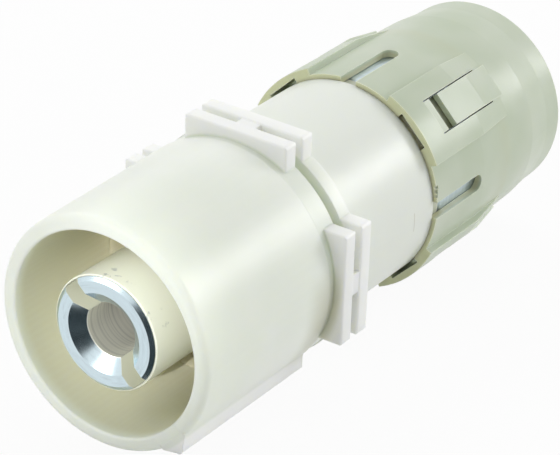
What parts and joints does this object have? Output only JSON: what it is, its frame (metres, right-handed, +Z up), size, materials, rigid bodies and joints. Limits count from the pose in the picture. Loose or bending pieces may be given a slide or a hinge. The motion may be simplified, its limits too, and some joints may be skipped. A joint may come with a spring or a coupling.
{
  "type": "heavy-duty connector",
  "caption": "High-current socket connector: round insulating shell with a slotted eared flange, a silvered socket contact deep in the mouth and a clipped rear cable sleeve.",
  "frame": {"origin": "on the connector axis, in the rear face of the rear flange plate", "axes": "+Y along the connector axis towards the cable, -Y out of the mating mouth, +Z up, +X to the right seen from the mating side"},
  "size_m": [0.047, 0.117, 0.047],
  "materials": {
    "shell_plastic": "moulded polyamide, milky off-white",
    "guard_plastic": "moulded polyamide, ivory",
    "silvered_ring": "turned copper alloy, silver plated",
    "silvered_contact": "turned copper alloy, silver plated",
    "spring_alloy": "stamped copper beryllium strip",
    "plated_collar": "turned, bright",
    "spring_steel": "phosphated spring steel",
    "sleeve_plastic": "moulded polyamide, pebble grey with a green tint"
  },
  "bodies": {
    "root": {"insulating_shell": "shell_plastic", "guard_tube": "guard_plastic", "ring_nut": "silvered_ring", "contact_socket": "silvered_contact", "contact_band": "spring_alloy", "support_collar": "plated_collar", "retaining_ring": "spring_steel", "rear_sleeve": "sleeve_plastic"}
  },
  "joints": []
}
